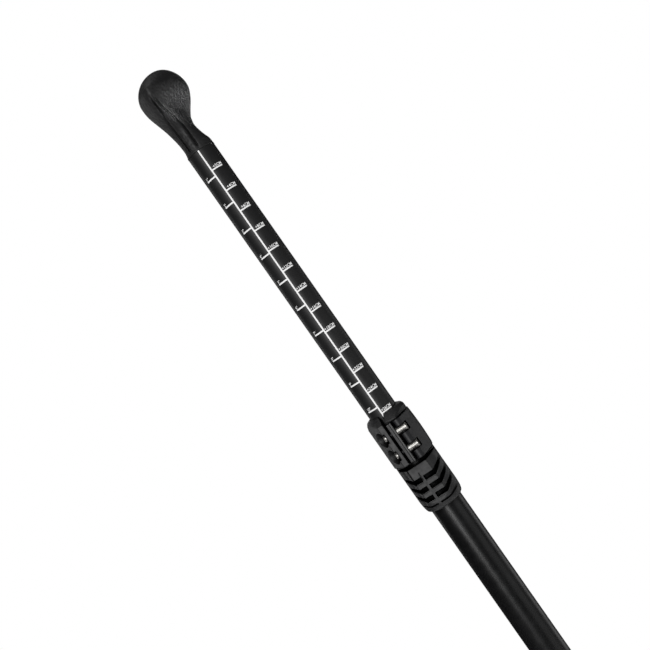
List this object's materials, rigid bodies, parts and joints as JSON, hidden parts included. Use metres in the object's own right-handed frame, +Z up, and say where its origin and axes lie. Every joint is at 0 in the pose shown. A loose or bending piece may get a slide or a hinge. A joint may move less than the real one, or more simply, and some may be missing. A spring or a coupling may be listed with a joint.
{
  "type": "telescopic avalanche probe pole",
  "caption": "Telescopic probe pole: palm grip on a graduated tube that slides and turns in an outer tube, locked by a cam-lever clamp, with a plug-in steel point.",
  "frame": {"origin": "on the pole's axis at the shoulder of the tip ferrule, the upper end of the basket seat", "axes": "+Z up the pole towards the grip; the clamp's split and the front of the printed scale face -Y; +X is the cam lever's side"},
  "size_m": [0.0427, 0.088, 0.9107],
  "materials": {
    "grip_rubber": "soft matte overmould with a fine grain",
    "grip_plastic": "moulded glass-filled nylon",
    "inner_tube_black": "satin black composite tube with a white printed scale",
    "outer_tube_black": "satin black composite tube with fine hoop marks",
    "clamp_nylon": "moulded glass-filled nylon, fine matte texture",
    "lever_nylon": "moulded glass-filled nylon, smoother than the clamp",
    "shoe_acetal": "dark grey acetal",
    "guide_acetal": "natural acetal",
    "stainless": "turned stainless steel",
    "spring_steel": "bright spring steel strip",
    "ferrule_alloy": "dark anodised aluminium, fine turned lines",
    "seal_rubber": "nitrile rubber"
  },
  "bodies": {
    "outer_section": {"outer_tube": "outer_tube_black", "clamp_body": "clamp_nylon", "cam_shoe": "shoe_acetal", "lever_axle": "stainless", "upper_clamp_screw": "stainless", "lower_clamp_screw": "stainless", "upper_screw_washer": "stainless", "lower_screw_washer": "stainless", "upper_barrel_nut": "stainless", "lower_barrel_nut": "stainless", "tip_ferrule": "ferrule_alloy", "ferrule_o_ring": "seal_rubber", "tip_point": "stainless", "button_spring": "spring_steel"},
    "guide": {"guide_ring": "guide_acetal"},
    "inner_section": {"inner_tube": "inner_tube_black", "inner_end_plug": "grip_plastic", "grip_core": "grip_plastic", "grip_skin": "grip_rubber"},
    "lever": {"clamp_lever": "lever_nylon"},
    "button": {"tip_button": "stainless"}
  },
  "joints": [
    {"name": "tube_slide", "type": "slide", "parent": "outer_section", "child": "guide", "axis": [0, 0, 1], "range_m": [-0.2585, 0]},
    {"name": "tube_twist", "type": "hinge", "parent": "guide", "child": "inner_section", "pos_m": [0, 0, 0.418], "axis": [0, 0, 1], "continuous": true},
    {"name": "lever_open", "type": "hinge", "parent": "outer_section", "child": "lever", "pos_m": [0.0082, -0.019, 0.4955], "axis": [0, 0, -1], "range_deg": [0, 135]},
    {"name": "button_press", "type": "slide", "parent": "outer_section", "child": "button", "axis": [0, 1, 0], "range_m": [0, 0.0032], "stiffness_N_per_m": 900, "springref_m": -0.006, "deforming": ["button_spring"]}
  ]
}
